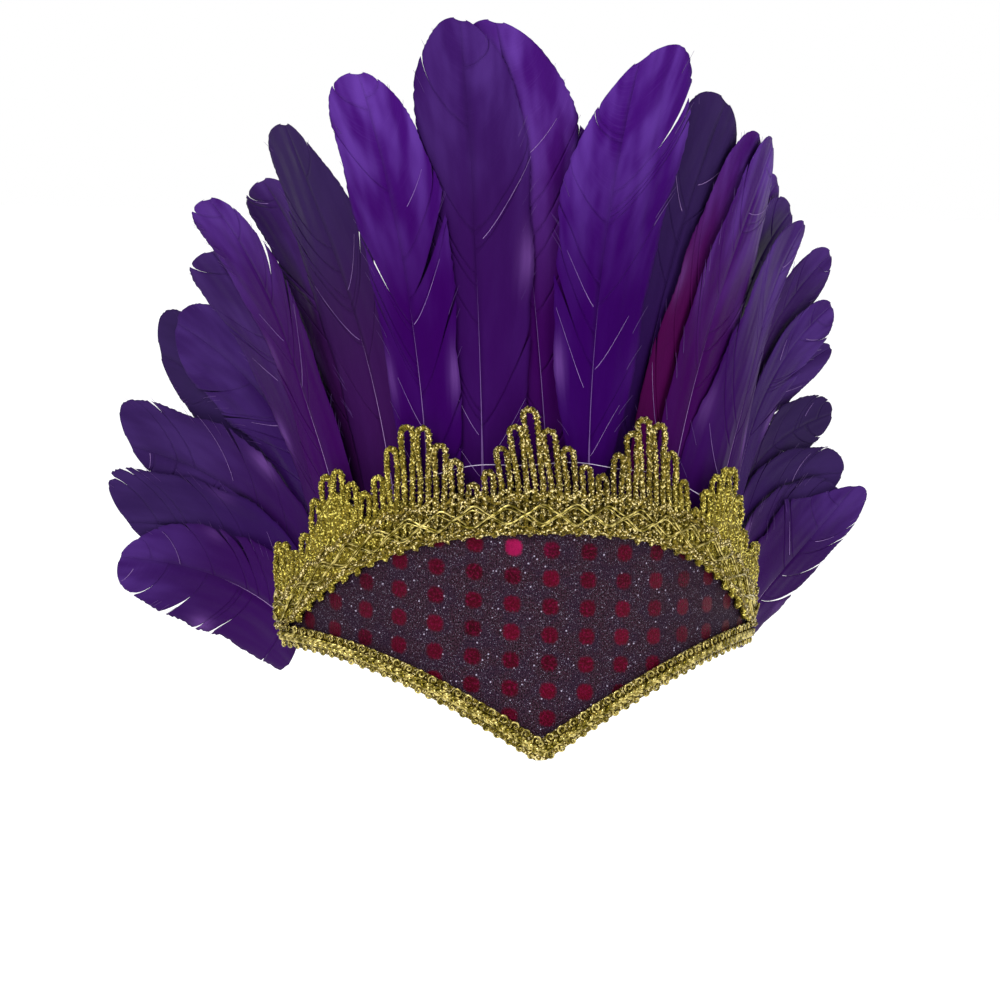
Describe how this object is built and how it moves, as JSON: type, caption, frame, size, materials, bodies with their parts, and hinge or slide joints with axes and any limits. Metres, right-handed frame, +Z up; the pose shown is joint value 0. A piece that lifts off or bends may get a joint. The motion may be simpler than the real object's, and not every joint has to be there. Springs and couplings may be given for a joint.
{
  "type": "feathered headdress",
  "caption": "Showgirl-style headdress: a curved, pointed brow panel edged with gold lace and braid, with a fan of dyed feathers standing behind it.",
  "frame": {"origin": "middle of the head opening, level with the lower corners of the front panel", "axes": "+Z up along the wearer's head, -Y the way the wearer faces, +X to the wearer's left"},
  "size_m": [0.3307, 0.1904, 0.2848],
  "materials": {
    "dotted_fabric": "glitter knit with crimson foil dots over a stiff backing",
    "gold_trim": "metallic thread, looped and braided",
    "dyed_feather": "soft satin vane, dyed violet",
    "backing_felt": "matte felt",
    "elastic": "ribbed woven elastic"
  },
  "bodies": {
    "root": {"front_panel": "dotted_fabric", "crown_lace": "gold_trim", "edge_braid": "gold_trim", "feather_01": "dyed_feather", "feather_02": "dyed_feather", "feather_03": "dyed_feather", "feather_04": "dyed_feather", "feather_05": "dyed_feather", "feather_06": "dyed_feather", "feather_07": "dyed_feather", "feather_08": "dyed_feather", "feather_09": "dyed_feather", "feather_10": "dyed_feather", "feather_11": "dyed_feather", "feather_12": "dyed_feather", "feather_13": "dyed_feather", "feather_14": "dyed_feather", "feather_15": "dyed_feather", "feather_16": "dyed_feather", "feather_17": "dyed_feather", "feather_18": "dyed_feather", "feather_19": "dyed_feather", "feather_20": "dyed_feather", "feather_21": "dyed_feather", "feather_22": "dyed_feather", "feather_23": "dyed_feather", "feather_24": "dyed_feather", "feather_25": "dyed_feather", "feather_26": "dyed_feather", "feather_27": "dyed_feather", "feather_28": "dyed_feather", "feather_29": "dyed_feather", "feather_30": "dyed_feather", "feather_31": "dyed_feather", "quill_felt": "backing_felt", "back_strap": "elastic"}
  },
  "joints": []
}
